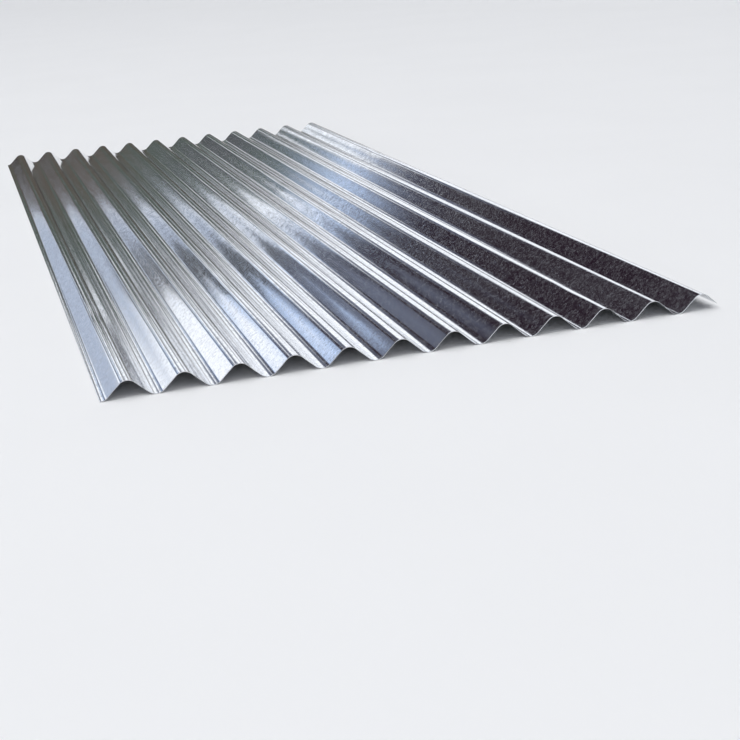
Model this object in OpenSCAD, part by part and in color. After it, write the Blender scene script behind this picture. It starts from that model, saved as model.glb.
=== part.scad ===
// Corrugated galvanised steel roofing sheet, rolled from one strip.
// The waves run along Y. The sheet lies on its valleys at Z = 0, centred in X and Y.

/* [Sheet] */
// Length of the sheet along its waves, cut square at both ends
sheet_length = 2134; // [600:1:6000]
// Overall width across the waves, from the valley edge on the left to the lap edge on the right
sheet_width = 800; // [150:1:1200]
// Thickness of the steel with its zinc coat
sheet_gauge = 0.5; // [0.2:0.05:1.2]

/* [Wave] */
// Distance from one crest to the next
wave_pitch = 67.7; // [60:0.1:130]
// Overall height of the waves, thickness included
wave_depth = 22.2; // [10:0.1:30]
// Bending radius of the crests and valleys, at the middle of the thickness
bend_radius = 13.5; // [6:0.1:30]

/* [Hidden] */

// Turns that take a bend from one flank to the next: an even count leaves a level strip at its middle
bend_turns = 12;

// Run and rise of the middle line over a quarter wave
quarter_run = wave_pitch / 4;
quarter_rise = (wave_depth - sheet_gauge) / 2;
// A bend is no wider than the one whose two halves meet without a straight flank
widest_bend = (pow(quarter_run, 2) + pow(quarter_rise, 2)) / (2 * quarter_rise);
bend = min(bend_radius, widest_bend);
// Half length and slope of the straight flank, which touches a valley bend and a crest bend
half_flank = sqrt(max(0, pow(quarter_run, 2) + pow(quarter_rise - bend, 2) - pow(bend, 2)));
flank_slope = atan2(quarter_rise - bend, quarter_run) + atan2(bend, half_flank);
// Each strip of a bend touches the true arc at its middle, so its corners lie a little outside the arc
corner_reach = 1 / cos(flank_slope / bend_turns);

// Number of the last bend that the width takes in: even bends are valleys, odd ones are crests
last_bend = ceil(sheet_width / (wave_pitch / 2)) + 1;

// Place, height, slope and reach of the middle line at one corner of a bend
function corner(index, turn) =
    let (slope = flank_slope * ((2 * turn + 1) / bend_turns - 1),
         sag = bend * (1 - corner_reach * cos(slope)),
         is_valley = index % 2 == 0)
    [index * wave_pitch / 2 + bend * corner_reach * sin(slope),
     is_valley ? sag : 2 * quarter_rise - sag,
     is_valley ? slope : -slope,
     corner_reach];

corners = [for (index = [0 : last_bend]) for (turn = [0 : bend_turns - 1]) corner(index, turn)];
heights = [for (c = corners) [c[0], c[1]]];

// Slope of the middle line at a place across the sheet, read over a tenth of the thickness
function slope_at(x) =
    let (reading = sheet_gauge / 20)
    atan2(lookup(x + reading, heights) - lookup(x - reading, heights), 2 * reading);

// The strip was slit square to its faces, so on a slope one face runs on past the middle line
valley_edge = 0;
lap_slope = slope_at(sheet_width);
lap_edge = sheet_width - sheet_gauge / 2 * abs(sin(lap_slope));

// Middle line from the bottom of the first valley to the lap edge
middle_line = concat(
    [[valley_edge, lookup(valley_edge, heights), 0, 1]],
    [for (c = corners) if (c[0] > valley_edge && c[0] < lap_edge) c],
    [[lap_edge, lookup(lap_edge, heights), lap_slope, 1]]
);

// One face of the sheet, set off from the middle line and square to it
function face_points(offset) =
    [for (c = middle_line) [c[0] - offset * c[3] * sin(c[2]), c[1] + offset * c[3] * cos(c[2])]];
function reversed(list) = [for (i = [len(list) - 1 : -1 : 0]) list[i]];

module wave_section() {
    upper_face = face_points(sheet_gauge / 2);
    lower_face = face_points(-sheet_gauge / 2);
    translate([-sheet_width / 2, sheet_gauge / 2])
        polygon(concat(upper_face, reversed(lower_face)));
}

module roofing_sheet() {
    color("gainsboro")
        rotate([90, 0, 0])
            linear_extrude(height = sheet_length, center = true)
                wave_section();
}

roofing_sheet();
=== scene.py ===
# %% [markdown]
# # A corrugated roofing sheet
#
# The part is one galvanised steel sheet: a thin strip, rolled into rounded waves and cut square
# at both ends. Its CAD solid fixes the size and the place. This lesson adds what a solid can't
# show: the sheet's slight unevenness, and a bright zinc finish that mirrors the room around it.

# %% Load the CAD model
import math

import bpy
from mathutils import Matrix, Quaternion, Vector, noise


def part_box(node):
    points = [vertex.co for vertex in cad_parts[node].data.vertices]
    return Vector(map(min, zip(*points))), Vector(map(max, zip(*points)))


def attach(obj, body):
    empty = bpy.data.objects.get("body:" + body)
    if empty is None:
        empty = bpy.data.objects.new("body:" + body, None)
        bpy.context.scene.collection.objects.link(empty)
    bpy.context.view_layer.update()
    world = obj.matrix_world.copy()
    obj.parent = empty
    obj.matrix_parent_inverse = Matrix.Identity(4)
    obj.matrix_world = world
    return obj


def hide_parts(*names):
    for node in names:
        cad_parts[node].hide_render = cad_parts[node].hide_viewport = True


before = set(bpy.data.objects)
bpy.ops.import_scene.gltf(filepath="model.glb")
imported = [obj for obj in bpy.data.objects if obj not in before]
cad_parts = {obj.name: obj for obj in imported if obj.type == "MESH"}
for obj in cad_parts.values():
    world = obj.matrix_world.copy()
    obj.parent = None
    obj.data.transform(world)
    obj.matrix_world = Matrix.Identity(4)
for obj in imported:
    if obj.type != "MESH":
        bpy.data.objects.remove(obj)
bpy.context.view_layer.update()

# %% [markdown]
# ## The wave
#
# Rolls bend the strip round a radius at each crest and valley and leave straight flanks between.
# A sine curve would come close, but it has no flat flank, and on bright metal a flat flank shows:
# it holds one even tone from end to end. So the section is worked out as arcs and tangents.
# With the run and the rise of a quarter wave and the bending radius known, the flank is the line
# that touches both arcs, and its length and slope follow from one right triangle.

# %% Sizes of the sheet
sheet_low, sheet_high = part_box("roofing_sheet")
sheet_width = sheet_high[0] - sheet_low[0]
sheet_length = sheet_high[1] - sheet_low[1]
wave_depth = sheet_high[2] - sheet_low[2]
wave_pitch = 0.0677
bend_radius = 0.0135
gauge = 0.0005

quarter_run = wave_pitch / 4
quarter_rise = (wave_depth - gauge) / 2
half_flank = math.sqrt(quarter_run**2 + (quarter_rise - bend_radius) ** 2 - bend_radius**2)
flank_slope = math.atan2(quarter_rise - bend_radius, quarter_run) + math.atan2(bend_radius, half_flank)
bend_run = bend_radius * math.sin(flank_slope)
print(f"flank: {2000 * half_flank:.1f} mm long at {math.degrees(flank_slope):.1f} degrees")


# %% Height and slope of the middle line at a place across the sheet
def wave_at(across):
    """Height and slope of the middle line, with across measured from the valley edge."""
    half_pitch = wave_pitch / 2
    turn = across % wave_pitch
    rising = turn <= half_pitch
    climb = turn if rising else wave_pitch - turn
    if climb < bend_run:
        slope = math.asin(climb / bend_radius)
        height = bend_radius * (1 - math.cos(slope))
    elif climb > half_pitch - bend_run:
        slope = math.asin((half_pitch - climb) / bend_radius)
        height = 2 * quarter_rise - bend_radius * (1 - math.cos(slope))
    else:
        slope = flank_slope
        height = quarter_rise + (climb - quarter_run) * math.tan(flank_slope)
    return height, slope if rising else -slope


climbs = [1000 * wave_at(k * quarter_run)[0] for k in range(3)]
print("middle line at the valley, half way up and at the crest, in mm:", [round(c, 2) for c in climbs])

# %% [markdown]
# ## Where the points go
#
# Points lie closest together where the sheet turns most: round the bends, and in a narrow strip
# along all four edges. The strip matters on bright metal. Smooth shading mixes the normals of the
# faces that meet at a point, so without it the end face would tip the last row of the sheet
# forward and draw a broad false band there. With it, that mixing ends within a hair's breadth.

# %% Columns across the sheet
bend_steps = 7
flank_steps = 2
edge_strip = (0.0, 0.00015, 0.0012)


def columns_across():
    """Columns close together round the bends and along both edges, and further apart on the flanks."""
    flank_run = wave_pitch / 2 - 2 * bend_run
    turns = [bend_radius * math.sin(flank_slope * i / bend_steps) for i in range(bend_steps + 1)]
    flank = [bend_run + flank_run * i / flank_steps for i in range(1, flank_steps)]
    half_wave = turns + flank + [wave_pitch / 2 - run for run in reversed(turns[1:])]
    half_waves = math.ceil(sheet_width / (wave_pitch / 2))
    found = [k * wave_pitch / 2 + run for k in range(half_waves) for run in half_wave]
    edge = sheet_width - gauge / 2 * math.sin(flank_slope)
    clear = 2 * edge_strip[-1]
    inner = [across for across in found if clear < across < edge - clear]
    return [*edge_strip, *inner, *(edge - step for step in reversed(edge_strip))]


columns = columns_across()

# %% Rows along the sheet
row_count = 108
even_rows = [sheet_length * (i / (row_count - 1) - 0.5) for i in range(row_count)]
front_strip = [even_rows[0] + step for step in edge_strip]
rows = [*front_strip, *even_rows[1:-1], *(-along for along in reversed(front_strip))]
print(f"mesh: {len(columns)} columns by {len(rows)} rows on each face")

# %% [markdown]
# ## Unevenness
#
# No rolled sheet is perfectly true. Worn rolls lean each wave a little to one side from end to
# end, the waves wander and flatten slightly along their length, and handling leaves shallow
# dents. None of it is more than half a millimetre, but a mirror doubles every angle, so these
# tenths are what break the reflections into separate patches. It has to be geometry: a bump map
# would bend the light but not the edges. Smooth noise from a fixed place gives the same sheet
# each run.

# %% Slow noise that moves the middle line
wave_lean = 0.00022  # metres to either side, the same from end to end
wander_side = 0.00014  # metres to either side, changing along the sheet
flattening = 0.016  # the largest share of its height that a wave loses
edge_hold = 0.05  # metres from a long edge within which the sideways move fades out
lean_steps, wander_steps, flat_steps = 1.37, 1.3, 0.9  # noise steps from wave to wave
wander_length, flat_length = 0.31, 0.27  # metres along the sheet to one noise step
lean_row, lean_layer, wander_layer, flat_layer = 0.4, 5.3, 27.3, 11.7  # places in the noise


def unevenness(across, along):
    """Sideways move of the middle line at a place, and the share of its height that it keeps."""
    wave = across / wave_pitch
    lean = noise.noise(Vector((lean_steps * wave, lean_row, lean_layer)))
    wander = noise.noise(Vector((wander_steps * wave, along / wander_length, wander_layer)))
    flat = 0.5 + 0.5 * noise.noise(Vector((flat_steps * wave, along / flat_length, flat_layer)))
    edge_fade = max(0.0, min(1.0, across / edge_hold, (sheet_width - across) / edge_hold))
    return edge_fade * (wave_lean * lean + wander_side * wander), 1 - flattening * flat


crest_count = round(sheet_width / wave_pitch)
moves = [1000 * unevenness((k + 0.5) * wave_pitch, 0.0)[0] for k in range(crest_count)]
print("half way along, the crests move sideways by, in mm:", [round(move, 2) for move in moves])

# %% Shallow dents from handling, each a smooth hollow
dents = [
    # across, along, reach across, reach along, depth
    (0.034, -0.71, 0.014, 0.040, 0.0004),
    (0.236, -0.62, 0.011, 0.045, 0.0003),
    (0.508, 0.21, 0.012, 0.060, 0.0003),
    (0.643, -0.94, 0.013, 0.036, 0.0004),
    (0.372, 0.74, 0.012, 0.050, 0.0004),
    (0.779, 0.46, 0.012, 0.040, 0.0005),
]


def dent_at(across, along):
    """How far the dents push the sheet down at a place."""
    down = 0.0
    for centre_across, centre_along, reach_across, reach_along, depth in dents:
        off_across = (across - centre_across) / reach_across
        off_along = (along - centre_along) / reach_along
        down += depth * math.exp(-(off_across**2 + off_along**2))
    return down


print(f"dents: {len(dents)}, up to {1000 * max(dent[-1] for dent in dents):.1f} mm deep")

# %% [markdown]
# ## The sheet's mesh
#
# The sheet is a closed shell: an upper face, a lower face half a millimetre below it, and the
# thin cut edges that join them. A Solidify modifier could add the thickness, but placing both
# faces by the section's own slope keeps the wall even round the bends and leaves nothing to
# apply. Shears pull the upper edge down a little before they cut through, so the outermost row of
# the upper face is set lower. The faces are smooth shaded, the cut edges flat and their border
# marked sharp, so the rim stays crisp. The mesh then takes the plain solid's place.

# %% Points of both faces
shear_roll = 0.00009


def face_point(across, along, side):
    """A point on the upper (side 1) or lower (side -1) face."""
    height, slope = wave_at(across)
    sideways, kept = unevenness(across, along)
    middle = sheet_low[2] + gauge / 2 + quarter_rise + (height - quarter_rise) * kept
    if height > quarter_rise:
        middle -= dent_at(across, along)
    to_edge = min(across, columns[-1] - across, sheet_length / 2 - abs(along))
    thickness = gauge / 2
    if side > 0:
        thickness -= shear_roll * max(0.0, 1 - to_edge / edge_strip[1])
    x = sheet_low[0] + across + sideways - side * thickness * math.sin(slope)
    z = middle + side * thickness * math.cos(slope)
    return min(max(x, sheet_low[0]), sheet_high[0]), along, min(max(z, sheet_low[2]), sheet_high[2])


points = [face_point(across, along, side) for side in (1, -1) for along in rows for across in columns]
print(f"points: {len(points)} on both faces")


# %% Faces between the points
def sheet_faces():
    """Quads of the upper and lower face, then those of the four cut edges."""
    wide, tall = len(columns), len(rows)
    under = wide * tall
    grid = [
        (r * wide + c, r * wide + c + 1, (r + 1) * wide + c + 1, (r + 1) * wide + c)
        for r in range(tall - 1)
        for c in range(wide - 1)
    ]
    lower = [tuple(under + i for i in reversed(quad)) for quad in grid]
    rim = list(range(wide))
    rim += [(r + 1) * wide - 1 for r in range(1, tall)]
    rim += [(tall - 1) * wide + c for c in range(wide - 2, -1, -1)]
    rim += [r * wide for r in range(tall - 2, 0, -1)]
    edges = [(a, a + under, b + under, b) for a, b in zip(rim, rim[1:] + rim[:1])]
    return grid + lower, edges


broad_faces, edge_faces = sheet_faces()
mesh = bpy.data.meshes.new("corrugated_sheet")
mesh.from_pydata(points, [], broad_faces + edge_faces)
mesh.polygons.foreach_set("use_smooth", [True] * len(broad_faces) + [False] * len(edge_faces))
mesh.polygons.foreach_set("material_index", [0] * len(broad_faces) + [1] * len(edge_faces))

# %% The rim's border is sharp
sides = [pair for a, b, c, d in edge_faces for pair in ((a, d), (b, c), (a, b), (c, d))]
border = {tuple(sorted(pair)) for pair in sides}
sharp = [tuple(sorted(edge.vertices)) in border for edge in mesh.edges]
mesh.edges.foreach_set("use_edge_sharp", sharp)
mesh.validate()
mesh.update()
sheet = bpy.data.objects.new("corrugated_sheet", mesh)
bpy.context.collection.objects.link(sheet)
print(f"sheet: {2 * len(mesh.polygons)} triangles, {sum(sharp)} sharp edges")

# %% The sheet stands for the CAD solid
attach(sheet, "root")
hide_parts("roofing_sheet")
print(f"in place of the solid: {sheet.name}")

# %% [markdown]
# ## Sums with sockets
#
# Shader graphs are easier to read as sums than as lists of links. A small class holds one output
# socket, and its operators add the Math nodes. Every node comes from its one method make: the
# settings come first there, because some of them change which sockets the node has.


# %% A socket that can be added and multiplied
class Wire:
    """An output socket of a shader node. Sums with it add Math nodes to the same tree."""

    def __init__(self, tree, socket):
        self.tree = tree
        self.socket = socket

    @classmethod
    def make(cls, tree, kind, settings=None, sockets=None, output=0):
        """A new node of a kind, with its settings made first and then its sockets filled or linked."""
        node = tree.nodes.new("ShaderNode" + kind)
        for name, value in (settings or {}).items():
            setattr(node, name, value)
        for name, value in (sockets or {}).items():
            if isinstance(value, cls):
                tree.links.new(value.socket, node.inputs[name])
            else:
                node.inputs[name].default_value = value
        return cls(tree, node.outputs[output]) if node.outputs else None

    def other(self, output):
        """Another output of the same node."""
        return Wire(self.tree, self.socket.node.outputs[output])

    def maths(self, operation, *values):
        """One Math node, on values that are numbers or wires."""
        return Wire.make(self.tree, "Math", {"operation": operation}, dict(enumerate(values)))

    def __add__(self, value):
        return self.maths("ADD", self, value)

    def __sub__(self, value):
        return self.maths("SUBTRACT", self, value)

    def __mul__(self, value):
        return self.maths("MULTIPLY", self, value)

    def __truediv__(self, value):
        return self.maths("DIVIDE", self, value)

    def __pow__(self, value):
        return self.maths("POWER", self, value)

    def __rsub__(self, value):
        return self.maths("SUBTRACT", value, self)

    __radd__ = __add__
    __rmul__ = __mul__

    def ease(self, low, high):
        """0 below low, 1 above high and a smooth rise between."""
        return Wire.make(
            self.tree,
            "MapRange",
            {"interpolation_type": "SMOOTHSTEP"},
            {"Value": self, "From Min": low, "From Max": high},
        )

    def band(self, low, high, soft):
        """1 between low and high, with edges that fade over soft on each side."""
        return self.ease(low - soft, low + soft) * (1 - self.ease(high - soft, high + soft))


def blend(factor, first, second):
    """The first colour where factor is 0 and the second where it is 1."""
    return Wire.make(factor.tree, "Mix", {"data_type": "RGBA"}, {0: factor, 6: first, 7: second}, 2)


def vector_maths(operation, first, second, output=0):
    """One step of vector arithmetic."""
    return Wire.make(first.tree, "VectorMath", {"operation": operation}, {0: first, 1: second}, output)


def cloudy(place, scale, detail):
    """Smooth noise from 0 to 1 at a place."""
    return Wire.make(place.tree, "TexNoise", {}, {"Vector": place, "Scale": scale, "Detail": detail})


# %% [markdown]
# ## Bright zinc
#
# Hot-dip zinc freezes on the steel as a mosaic of flat crystals, called spangle. Each crystal
# leans its own way by a fraction of a degree, so a reflection's edge is broken into flecks. A
# speckled colour would look painted, so here the lean is real: a Voronoi cell is a crystal, and
# the bump height inside it is a plane with its own random tilt. Fine crystals give the speckle,
# and a coarser mosaic under them gives the cloudiness that shows at arm's length.

# %% The material and its place on the sheet
zinc = bpy.data.materials.new("bright_zinc")
zinc.use_nodes = True
tree = zinc.node_tree
tree.nodes.clear()
place = Wire.make(tree, "TexCoord", output="Object")


# %% Crystals that each lean their own way
def spangle(crystals_per_metre, lean):
    """Height of a mosaic of tilted crystals, and a random number for each crystal."""
    cell = Wire.make(tree, "TexVoronoi", {}, {"Vector": place, "Scale": crystals_per_metre}, "Position")
    colour = cell.other("Color")
    offset = vector_maths("SUBTRACT", place, cell)
    direction = vector_maths("SUBTRACT", colour, (0.5, 0.5, 0.5))
    tilt = vector_maths("DOT_PRODUCT", offset, direction, "Value")
    chance = Wire.make(tree, "SeparateColor", {}, {"Color": colour}, "Green")
    return tilt * lean, chance


fine_crystals, fine_lean = 330.0, 0.0045
coarse_crystals, coarse_lean = 120.0, 0.0024
fine_height, fine_chance = spangle(fine_crystals, fine_lean)
coarse_height, coarse_chance = spangle(coarse_crystals, coarse_lean)
print(f"crystals: about {1000 / fine_crystals:.0f} and {1000 / coarse_crystals:.0f} mm across")

# %% [markdown]
# The finish isn't equally bright all over. Where sheets have rubbed and been wiped, a thin dull
# bloom lies in soft clouds drawn out along the waves. The zinc also ran a little before it froze,
# which leaves ripples as wide as a finger. Both are noise. The clouds' noise is drawn out along
# the sheet by squeezing its length before the noise is read.
#
# Zinc oxidises as it ages, some crystals more than others. Oxide is pale and matt, so a dulled
# crystal scatters a little of the room's light and shows as grain where the mirror image is dark.
# A metal has no matt part of its own, so the oxide is taken off the Metallic value instead.

# %% Clouds and ripples
clouds_per_metre = (9.0, 1.6, 9.0)  # across, along and up
ripples_per_metre = 75.0
ripple_height = 0.000005
bloom_starts, bloom_full = 0.45, 0.72
stretched = vector_maths("MULTIPLY", place, clouds_per_metre)
bloom = cloudy(stretched, 1.0, 4.0).ease(bloom_starts, bloom_full)
ripples = ripple_height * cloudy(place, ripples_per_metre, 2.0)
print(f"ripples: about {1000 / ripples_per_metre:.0f} mm wide")

# %% Colour, roughness and bump of the zinc
clean_zinc = (0.84, 0.86, 0.89, 1.0)
dull_zinc = (0.58, 0.60, 0.64, 1.0)
least_oxide = 0.01
least_roughness = 0.042
few, fewer = 2.0, 3.0  # a higher power leaves the change to fewer crystals

# Each sum adds what the bloom and the two sizes of crystal do.
shade = 0.35 * bloom + 0.35 * fine_chance + 0.20 * coarse_chance
colour = blend(shade, clean_zinc, dull_zinc)
oxide = least_oxide + 0.03 * bloom + 0.085 * fine_chance**few + 0.015 * coarse_chance
roughness = least_roughness + 0.022 * bloom + 0.020 * coarse_chance**fewer
roughness = roughness + 0.080 * fine_chance**fewer
height = fine_height + coarse_height + ripples
relief = Wire.make(tree, "Bump", {}, {"Strength": 1.0, "Distance": 1.0, "Height": height})
surface = Wire.make(
    tree,
    "BsdfPrincipled",
    {},
    {"Base Color": colour, "Metallic": 1 - oxide, "Roughness": roughness, "Normal": relief},
)
Wire.make(tree, "OutputMaterial", {}, {"Surface": surface})
mesh.materials.append(zinc)
print(f"zinc: {len(tree.nodes)} nodes")

# %% [markdown]
# ## Sheared edge
#
# Where the sheet was cut there is no zinc, only bare steel with the fine scoring of the blade
# across it. The zinc smears a little way down the cut, so the steel is bright in places. Noise
# drawn out in height gives the scoring.

# %% Bare steel of the cut edges
sheared = bpy.data.materials.new("sheared_steel")
sheared.use_nodes = True
cut_tree = sheared.node_tree
cut_tree.nodes.clear()
cut_place = Wire.make(cut_tree, "TexCoord", output="Object")
bare_steel = (0.52, 0.52, 0.53, 1.0)
smeared_zinc = (0.74, 0.76, 0.79, 1.0)
scores_per_metre = (2600.0, 2600.0, 300.0)
score_depth = 0.00005
smears_per_metre = 60.0
smear_starts, smear_full = 0.4, 0.65
least_cut_roughness, scored_roughness = 0.30, 0.18

scored = vector_maths("MULTIPLY", cut_place, scores_per_metre)
score = cloudy(scored, 1.0, 2.0)
smear = cloudy(cut_place, smears_per_metre, 3.0).ease(smear_starts, smear_full)
scoring = Wire.make(cut_tree, "Bump", {}, {"Strength": 0.6, "Distance": score_depth, "Height": score})
cut_surface = Wire.make(
    cut_tree,
    "BsdfPrincipled",
    {},
    {
        "Base Color": blend(smear, bare_steel, smeared_zinc),
        "Metallic": 1.0,
        "Roughness": least_cut_roughness + scored_roughness * score,
        "Normal": scoring,
    },
)
Wire.make(cut_tree, "OutputMaterial", {}, {"Surface": cut_surface})
mesh.materials.append(sheared)
print(f"cut edges: {len(edge_faces)} faces")

# %% [markdown]
# ## Floor
#
# A pale, plain floor that runs far past the view, so that its end never shows. The camera looks
# down on it, so one large square is enough, with no curved backdrop. It has the faint mottling of
# painted concrete, and it is matt, so it takes the sheet's soft shadow.

# %% Pale floor
floor_reach = 80.0
floor_corners = [(x * floor_reach, y * floor_reach, 0) for x, y in ((-1, -1), (1, -1), (1, 1), (-1, 1))]
floor_mesh = bpy.data.meshes.new("floor")
floor_mesh.from_pydata(floor_corners, [], [(0, 1, 2, 3)])
floor = bpy.data.objects.new("floor", floor_mesh)
bpy.context.collection.objects.link(floor)

# %% Its matt paint
dim_paint = (0.84, 0.84, 0.84, 1.0)
pale_paint = (0.87, 0.87, 0.87, 1.0)
mottles_per_metre = 2.5
paint = bpy.data.materials.new("pale_floor")
paint.use_nodes = True
paint_tree = paint.node_tree
paint_tree.nodes.clear()
mottle = cloudy(Wire.make(paint_tree, "TexCoord", output="Object"), mottles_per_metre, 3.0)
paint_colour = blend(mottle, dim_paint, pale_paint)
matt = Wire.make(paint_tree, "BsdfPrincipled", {}, {"Base Color": paint_colour, "Roughness": 0.9})
Wire.make(paint_tree, "OutputMaterial", {}, {"Surface": matt})
floor_mesh.materials.append(paint)
print(f"floor: {2 * floor_reach:.0f} m on each side")

# %% [markdown]
# ## Studio
#
# Bright metal has hardly any look of its own: it shows the room. A bare white room would leave
# the waves flat and grey, so the studio has the few things that shape them. Ahead of the sheet
# a wide pale window lies between a dim low wall and a dark canopy, with a rail, a post and a
# slanting brace in it. Each of the room's four walls is made like that, so the sheet reads as
# metal from every side. Panels of mesh could stand there too, but all of it is far away and
# soft, so it lives in the world shader, where a direction is an azimuth from the middle of the
# nearest wall and an elevation above the floor, both in degrees.

# %% Direction of a ray, in degrees
world = bpy.data.worlds.new("studio")
bpy.context.scene.world = world
world.use_nodes = True
room = world.node_tree
room.nodes.clear()
ray = Wire.make(room, "TexCoord", output="Generated")
ray_x = Wire.make(room, "SeparateXYZ", {}, {"Vector": ray}, "X")
ray_y = ray_x.other("Y")
ray_z = ray_x.other("Z")
degrees = 180 / math.pi
half_wall = 45.0
elevation = ray_z.maths("ARCSINE", ray_z) * degrees
bearing = ray_x.maths("ARCTAN2", ray_x, ray_y) * degrees
azimuth = bearing.maths("WRAP", bearing, half_wall, -half_wall)


# %% A level edge that steps up and down along a wall
def stepped(start, *steps):
    """Elevation of an edge. Each step is a rise and the two azimuths between which it happens."""
    level = start
    for rise, low, high in steps:
        level = level + rise * azimuth.ease(low, high)
    return level


# %% The window and its rail
pale = (1.0, 1.0, 1.0, 1.0)
window = (1.18, 1.21, 1.26, 1.0)
hazy_window = (0.47, 0.54, 0.68, 1.0)
low_pane = (0.40, 0.43, 0.47, 1.0)
bright_pane = (1.08, 1.10, 1.16, 1.0)
rail_grey = (0.10, 0.10, 0.11, 1.0)

ahead = azimuth.band(-26.0, 26.0, 3.0)
haze_top = stepped(6.0, (3.5, -12.0, -10.6))
hazy = (1 - (elevation - haze_top).ease(0.0, 3.0)) * azimuth.band(-30.0, -9.0, 1.0)
pane = (1 - elevation.ease(11.5, 13.5)) * azimuth.ease(0.0, 3.0) * (1 - azimuth.ease(30.0, 38.0))
pane_colour = blend(azimuth.ease(6.5, 11.0), low_pane, bright_pane)
rail_top = stepped(13.7, (-0.7, 9.0, 12.0))
rail = elevation.ease(10.4, 11.6) * (1 - (elevation - rail_top).ease(-0.8, 0.8))
rail = rail * azimuth.band(4.5, 14.2, 1.2)

view_out = blend(ahead, pale, window)
view_out = blend(hazy, view_out, hazy_window)
view_out = blend(pane, view_out, pane_colour)
view_out = blend(rail, view_out, rail_grey)

# %% The low wall under it, with a dark foot
wall_green = (0.074, 0.096, 0.081, 1.0)
wall_brown = (0.088, 0.072, 0.056, 1.0)
wall_far = (0.19, 0.20, 0.20, 1.0)
wall_foot = (0.040, 0.036, 0.034, 1.0)

wall_top = stepped(
    7.0,
    (-5.0, -22.0, -18.0),
    (12.7, -9.3, -8.4),
    (-3.0, -7.0, -6.0),
    (3.6, -3.0, 1.5),
    (-5.6, 4.4, 6.4),
    (-1.4, 9.5, 13.0),
    (-4.5, 14.0, 18.0),
)
wall = 1 - (elevation - wall_top).ease(-0.9, 0.9)
foot = (1 - elevation.ease(2.0, 5.0)) * azimuth.ease(-9.0, -7.0)

brown_top = stepped(6.8, (3.0, -4.0, 0.0), (-4.0, 5.0, 8.0))
wall_colour = blend((elevation - brown_top).ease(-1.2, 1.2), wall_brown, wall_green)
wall_colour = blend(azimuth.ease(11.0, 14.0), wall_colour, wall_far)
view_out = blend(wall, view_out, blend(foot, wall_colour, wall_foot))

# %% [markdown]
# The canopy darkens in three steps, as a deep roof does: a little blue light is caught under its
# edge, a slate-grey fringe comes next, and then the dark itself. The darkest flanks of the sheet
# mirror it. The post and the brace stand under it, against the window.

# %% The canopy, the post and the brace
under_blue = (0.62, 0.78, 1.08, 1.0)
fringe_slate = (0.130, 0.145, 0.205, 1.0)
canopy_dark = (0.013, 0.003, 0.011, 1.0)
post_grey = (0.060, 0.062, 0.066, 1.0)
brace_grey = (0.08, 0.08, 0.09, 1.0)

fringe_edge = stepped(
    15.3,
    (-2.9, -14.3, -12.5),
    (2.9, -11.4, -9.6),
    (0.8, -10.2, -9.2),
    (2.6, -8.0, -5.0),
    (-2.4, -2.2, -0.8),
    (1.2, 0.6, 2.4),
    (4.0, 4.5, 8.5),
    (-1.5, 12.0, 22.0),
)
dark_edge = stepped(
    19.5,
    (-3.0, -15.0, -11.0),
    (-2.6, -12.4, -11.4),
    (2.6, -10.6, -9.6),
    (5.0, -8.0, -4.0),
    (-1.0, 12.0, 22.0),
)
canopy_reach = azimuth.band(-42.0, 42.0, 3.0) * (1 - elevation.ease(31.0, 37.0))
blue = (elevation - fringe_edge).ease(-4.5, -0.5) * canopy_reach * (1 - azimuth.ease(-7.8, -6.8))
fringe = (elevation - fringe_edge).ease(-1.6, 1.6) * canopy_reach
canopy = (elevation - dark_edge).ease(-2.5, 3.0) * canopy_reach
post = azimuth.band(-12.3, -10.45, 0.3) * elevation.band(6.6, 16.0, 1.0)
brace_level, brace_slope = 17.3, 1.05
off_brace = elevation - brace_level - brace_slope * azimuth
brace = off_brace.band(-1.3, 1.2, 0.5) * azimuth.band(-7.6, 0.4, 0.8)

view_out = blend(blue, view_out, under_blue)
view_out = blend(post, view_out, post_grey)
view_out = blend(brace, view_out, brace_grey)
view_out = blend(fringe, view_out, fringe_slate)
view_out = blend(canopy, view_out, canopy_dark)

# %% [markdown]
# Seen from above, the sheet mirrors the ceiling. A plain white one would hide the waves from there,
# so strips of light cross on it, with grey between them. A ray meets the ceiling at its sideways
# parts over its upward part, so the strips run straight, as real ones would.

# %% The ceiling's strips of light
strip_light = (1.52, 1.55, 1.60, 1.0)
ceiling_grey = (0.26, 0.27, 0.29, 1.0)
half_spacing = 0.15
grey_until, lit_from = 0.01, 0.11


def strips(ceiling_place):
    """1 on a strip of light and 0 between two, by a place on the ceiling in ceiling heights."""
    return ceiling_place.maths("PINGPONG", ceiling_place, half_spacing).ease(grey_until, lit_from)


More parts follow.
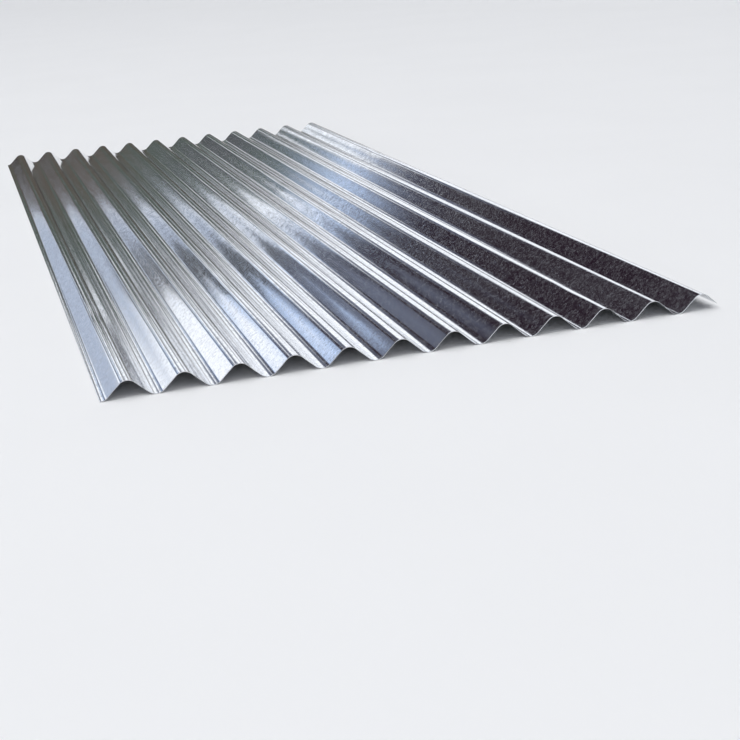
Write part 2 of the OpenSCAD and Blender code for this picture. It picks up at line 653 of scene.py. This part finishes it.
lit = 0.5 * strips(ray_x / ray_z) + 0.5 * strips(ray_y / ray_z)
ceiling = elevation.ease(36.0, 42.0)
view_out = blend(ceiling, view_out, blend(lit, ceiling_grey, strip_light))

# %% Light from the room
floor_tone = (0.8, 0.8, 0.8, 1.0)
below = 1 - elevation.ease(-0.6, 0.0)
view_out = blend(below, view_out, floor_tone)
glow = Wire.make(room, "Background", {}, {"Color": view_out, "Strength": 1.0})
Wire.make(room, "OutputWorld", {}, {"Surface": glow})
print(f"studio: {len(room.nodes)} nodes")

# %% [markdown]
# The room's light comes from all round and leaves next to no shadow. One large lamp, high on the
# left, gives the sheet a soft one, so that it is seen to lie on the floor. A small lamp would do
# it too, but its shadow would have a hard edge, and the zinc would mirror it as a glaring spot.

# %% One soft lamp
lamp_data = bpy.data.lights.new("key_lamp", "AREA")
lamp_data.shape = "DISK"
lamp_data.size = 5.0
lamp_data.energy = 560.0
lamp = bpy.data.objects.new("key_lamp", lamp_data)
lamp.location = (-9.0, -4.4, 10.6)
lamp.rotation_euler = (-lamp.location).to_track_quat("-Z", "Y").to_euler()
bpy.context.collection.objects.link(lamp)
print(f"lamp: {lamp_data.size:.0f} m wide, {lamp.location.length:.1f} m away")

# %% [markdown]
# ## Camera
#
# The camera was placed by matching the ends of the waves to their places in the photograph: it
# stands low and to the left of the sheet's near end, with a long lens and a slight tilt.

# %% Camera at the photograph's viewing angle
camera_data = bpy.data.cameras.new("camera")
camera_data.lens = 73.52
camera_data.sensor_width = 36.0
camera = bpy.data.objects.new("camera", camera_data)
heading, dip, roll = (math.radians(a) for a in (14.588, -16.590, -4.509))
forward = Vector((math.sin(heading) * math.cos(dip), math.cos(heading) * math.cos(dip), math.sin(dip)))
camera.location = (-0.5181, -2.7854, 0.5181)
camera.rotation_mode = "QUATERNION"
camera.rotation_quaternion = forward.to_track_quat("-Z", "Y") @ Quaternion((0, 0, 1), roll)
bpy.context.collection.objects.link(camera)
bpy.context.scene.camera = camera
print("camera faces:", [round(v, 4) for v in forward])

# %% Colours as written
bpy.context.scene.view_settings.view_transform = "Standard"
